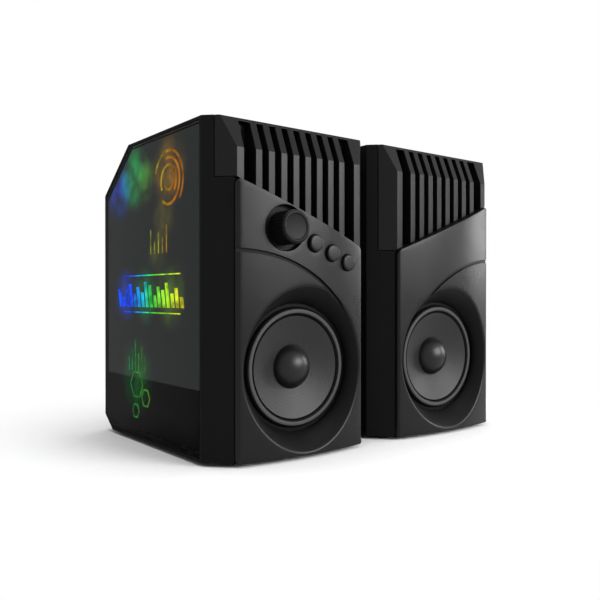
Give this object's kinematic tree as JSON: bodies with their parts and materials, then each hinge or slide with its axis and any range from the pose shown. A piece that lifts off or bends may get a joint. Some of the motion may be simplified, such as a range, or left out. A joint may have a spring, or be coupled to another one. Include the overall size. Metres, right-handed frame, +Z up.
{
  "type": "desktop speaker pair",
  "caption": "Pair of powered desktop speakers: faceted cabinets with finned grilles, bowed baffles with recessed drivers, side windows, and a volume knob with push buttons on the main one",
  "frame": {"origin": "on the floor, under the middle of the pair's overall box", "axes": "+X to the right of someone facing the speakers, +Y from the fronts to the backs, +Z up; the fronts face -Y and the main speaker stands at -X"},
  "size_m": [0.225, 0.157, 0.18],
  "materials": {
    "shell": "fine texture, satin",
    "baffle": "satin",
    "fins": "satin",
    "smoked_window": "polished, smoked",
    "light_guide": "clear, lit from its edge",
    "circuit_board": "solder resist",
    "inner_plastic": "plain moulded",
    "surround_rubber": "satin",
    "cone_paper": "coated, matte",
    "dust_cap": "half gloss",
    "copper": "enamelled wire",
    "cloth": "resin treated",
    "steel": "zinc plated",
    "ferrite": "matte",
    "foam": "closed foam",
    "foot_rubber": "matte",
    "knob": "satin",
    "buttons": "satin"
  },
  "bodies": {
    "pair": {"main_cabinet": "shell", "main_side_window": "smoked_window", "main_light_guide": "light_guide", "main_led_strip": "circuit_board", "main_bulkhead": "inner_plastic", "main_front_baffle": "baffle", "main_fin_grille": "fins", "main_rear_cover": "shell", "main_driver_gasket": "foam", "main_driver_frame": "steel", "main_driver_surround": "surround_rubber", "main_driver_spider": "cloth", "main_driver_magnet": "ferrite", "main_driver_yoke": "steel", "main_foot_1": "foot_rubber", "main_foot_2": "foot_rubber", "main_foot_3": "foot_rubber", "main_foot_4": "foot_rubber", "main_volume_pot": "inner_plastic", "main_control_board": "circuit_board", "main_amplifier_board": "circuit_board", "main_power_inlet": "inner_plastic", "main_audio_socket": "steel", "main_satellite_socket": "steel", "satellite_cabinet": "shell", "satellite_side_window": "smoked_window", "satellite_light_guide": "light_guide", "satellite_led_strip": "circuit_board", "satellite_bulkhead": "inner_plastic", "satellite_front_baffle": "baffle", "satellite_fin_grille": "fins", "satellite_rear_cover": "shell", "satellite_driver_gasket": "foam", "satellite_driver_frame": "steel", "satellite_driver_surround": "surround_rubber", "satellite_driver_spider": "cloth", "satellite_driver_magnet": "ferrite", "satellite_driver_yoke": "steel", "satellite_foot_1": "foot_rubber", "satellite_foot_2": "foot_rubber", "satellite_foot_3": "foot_rubber", "satellite_foot_4": "foot_rubber", "satellite_input_socket": "steel"},
    "knob_body": {"main_volume_knob": "knob", "main_volume_shaft": "steel"},
    "button_1_body": {"main_button_1": "buttons"},
    "button_2_body": {"main_button_2": "buttons"},
    "button_3_body": {"main_button_3": "buttons"},
    "main_cone_body": {"main_driver_cone": "cone_paper", "main_dust_cap": "dust_cap", "main_voice_coil": "copper"},
    "satellite_cone_body": {"satellite_driver_cone": "cone_paper", "satellite_dust_cap": "dust_cap", "satellite_voice_coil": "copper"}
  },
  "joints": [
    {"name": "volume_turn", "type": "hinge", "parent": "pair", "child": "knob_body", "pos_m": [-0.0725, -0.06352, 0.12332], "axis": [0, 1, 0], "range_deg": [-150, 150]},
    {"name": "button_1_press", "type": "slide", "parent": "pair", "child": "button_1_body", "axis": [0, 1, 0], "range_m": [0, 0.001], "stiffness_N_per_m": 200},
    {"name": "button_2_press", "type": "slide", "parent": "pair", "child": "button_2_body", "axis": [0, 1, 0], "range_m": [0, 0.001], "stiffness_N_per_m": 200},
    {"name": "button_3_press", "type": "slide", "parent": "pair", "child": "button_3_body", "axis": [0, 1, 0], "range_m": [0, 0.001], "stiffness_N_per_m": 200},
    {"name": "main_cone_travel", "type": "slide", "parent": "pair", "child": "main_cone_body", "axis": [0, 1, 0], "range_m": [-0.0015, 0.0015], "stiffness_N_per_m": 600, "deforming": ["main_driver_surround", "main_driver_spider"]},
    {"name": "satellite_cone_travel", "type": "slide", "parent": "pair", "child": "satellite_cone_body", "axis": [0, 1, 0], "range_m": [-0.0015, 0.0015], "stiffness_N_per_m": 600, "deforming": ["satellite_driver_surround", "satellite_driver_spider"]}
  ]
}
